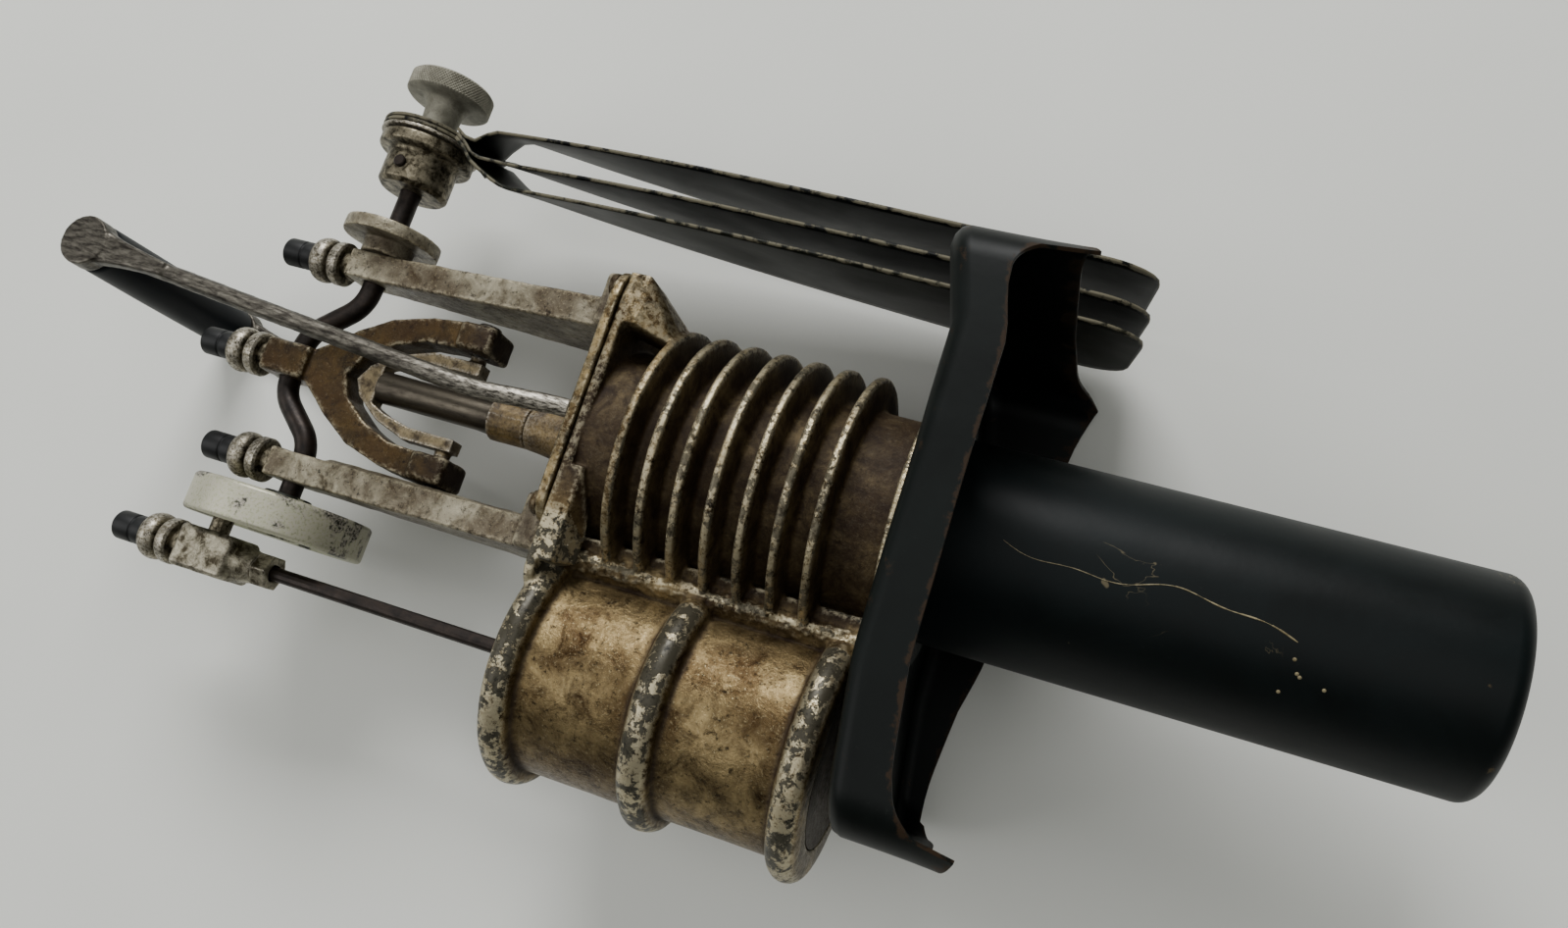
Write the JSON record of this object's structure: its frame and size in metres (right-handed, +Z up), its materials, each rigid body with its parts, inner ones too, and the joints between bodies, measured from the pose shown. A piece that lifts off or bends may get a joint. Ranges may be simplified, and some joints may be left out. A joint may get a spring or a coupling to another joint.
{
  "type": "hot-air fan engine",
  "caption": "Hot-air fan engine with a finned cylinder, closed hot tube, square heat shield, bent crank gear, greasers, folded fan blades and a carrying handle.",
  "frame": {"origin": "centre of the hot tube's flat closed end", "axes": "+X points out of the hot tube's closed end, along both cylinders' axes; +Y points along the crankshaft to the fan; +Z is up as the engine lies on its side"},
  "size_m": [0.4938, 0.2395, 0.1516],
  "materials": {
    "silver_painted_iron": "old silver paint over cast iron, worn through in places",
    "black_green_enamel": "dark green-black stove enamel, satin",
    "worn_steel": "worn bare steel",
    "oiled_steel": "dark oiled steel",
    "bronze": "dull bronze",
    "ebonite": "black hard rubber",
    "nickel_plate": "dull nickel plate"
  },
  "bodies": {
    "frame": {"cylinder_casting": "silver_painted_iron", "power_cylinder_cover": "silver_painted_iron", "top_plate": "silver_painted_iron", "standard_fan_side": "silver_painted_iron", "standard_disc_side": "silver_painted_iron", "bearing_flange": "silver_painted_iron", "hot_tube": "black_green_enamel", "heat_shield": "black_green_enamel", "rod_guide": "bronze", "gland_nut": "bronze", "nipple_fan_side": "nickel_plate", "nipple_disc_side": "nickel_plate", "handle_rod_upper": "worn_steel", "handle_rod_lower": "worn_steel", "handle_grip": "ebonite", "plate_screw_1": "worn_steel", "plate_screw_2": "worn_steel", "plate_screw_3": "worn_steel", "plate_screw_4": "worn_steel"},
    "crank": {"crankshaft": "oiled_steel", "crank_disc": "worn_steel", "power_crank_pin": "worn_steel", "fan_hub": "nickel_plate", "blade_1": "black_green_enamel"},
    "second_blade": {"blade_2": "black_green_enamel"},
    "third_blade": {"blade_3": "black_green_enamel"},
    "clamp_nut": {"thumb_nut": "nickel_plate"},
    "displacer_dowel": {"dowel_displacer": "worn_steel"},
    "displacer_gear": {"crosshead_yoke": "worn_steel", "displacer_rod": "worn_steel", "displacer_can": "oiled_steel", "displacer_lid": "oiled_steel"},
    "fork_rod": {"displacer_fork": "silver_painted_iron", "fork_screw_fan_side": "worn_steel", "fork_screw_disc_side": "worn_steel", "nipple_fork": "nickel_plate"},
    "power_dowel": {"dowel_power": "worn_steel"},
    "piston": {"power_piston": "oiled_steel"},
    "power_rod": {"power_rod_head": "nickel_plate", "lock_nut": "nickel_plate", "power_rod": "oiled_steel", "nipple_power_rod": "nickel_plate"},
    "cap_fan_side": {"grease_cap_fan_side": "ebonite"},
    "cap_disc_side": {"grease_cap_disc_side": "ebonite"},
    "cap_fork": {"grease_cap_fork": "ebonite"},
    "cap_power_rod": {"grease_cap_power_rod": "ebonite"}
  },
  "joints": [
    {"name": "crank_spin", "type": "hinge", "parent": "frame", "child": "crank", "pos_m": [-0.3995, 0, 0], "axis": [0, 1, 0], "continuous": true},
    {"name": "displacer_dowel_turn", "type": "hinge", "parent": "crank", "child": "displacer_dowel", "pos_m": [-0.40875, 0, 0], "axis": [0, 1, 0], "continuous": true},
    {"name": "displacer_travel", "type": "hinge", "parent": "displacer_dowel", "child": "displacer_gear", "pos_m": [-0.418, 0, 0], "axis": [0, 1, 0], "continuous": true},
    {"name": "fork_pivot", "type": "hinge", "parent": "crank", "child": "fork_rod", "pos_m": [-0.418, 0, 0], "axis": [0, 1, 0], "continuous": true},
    {"name": "power_dowel_turn", "type": "hinge", "parent": "crank", "child": "power_dowel", "pos_m": [-0.40835, -0.0762, 0.0027], "axis": [0, 1, 0], "continuous": true},
    {"name": "piston_travel", "type": "hinge", "parent": "power_dowel", "child": "piston", "pos_m": [-0.41719, -0.0762, 0], "axis": [0, 1, 0], "continuous": true},
    {"name": "power_rod_pivot", "type": "hinge", "parent": "crank", "child": "power_rod", "pos_m": [-0.41719, -0.0762, 0.00541], "axis": [0, 1, 0], "continuous": true},
    {"name": "blade_2_unfold", "type": "hinge", "parent": "crank", "child": "second_blade", "pos_m": [-0.3995, 0, 0], "axis": [0, 1, 0], "range_deg": [0, 120]},
    {"name": "blade_3_unfold", "type": "hinge", "parent": "second_blade", "child": "third_blade", "pos_m": [-0.3995, 0, 0], "axis": [0, 1, 0], "range_deg": [0, 120]},
    {"name": "thumb_nut_turn", "type": "hinge", "parent": "crank", "child": "clamp_nut", "pos_m": [-0.3995, 0, 0], "axis": [0, 1, 0], "continuous": true},
    {"name": "cap_fan_side_turn", "type": "hinge", "parent": "frame", "child": "cap_fan_side", "pos_m": [-0.409, 0.042, 0], "axis": [1, 0, 0], "continuous": true},
    {"name": "cap_disc_side_turn", "type": "hinge", "parent": "frame", "child": "cap_disc_side", "pos_m": [-0.409, -0.038, 0], "axis": [1, 0, 0], "continuous": true},
    {"name": "cap_fork_turn", "type": "hinge", "parent": "fork_rod", "child": "cap_fork", "pos_m": [-0.4278, 0, 0], "axis": [1, 0, 0], "continuous": true},
    {"name": "cap_power_rod_turn", "type": "hinge", "parent": "power_rod", "child": "cap_power_rod", "pos_m": [-0.42669, -0.0762, 0.00541], "axis": [1, 0, 0], "continuous": true}
  ],
  "couplings": [
    {"joint": "displacer_dowel_turn", "follows": "crank_spin", "ratio": -2},
    {"joint": "displacer_travel", "follows": "crank_spin", "ratio": 1},
    {"joint": "fork_pivot", "follows": "crank_spin", "ratio": -1},
    {"joint": "power_dowel_turn", "follows": "crank_spin", "ratio": -2},
    {"joint": "piston_travel", "follows": "crank_spin", "ratio": 1},
    {"joint": "power_rod_pivot", "follows": "crank_spin", "ratio": -1}
  ]
}
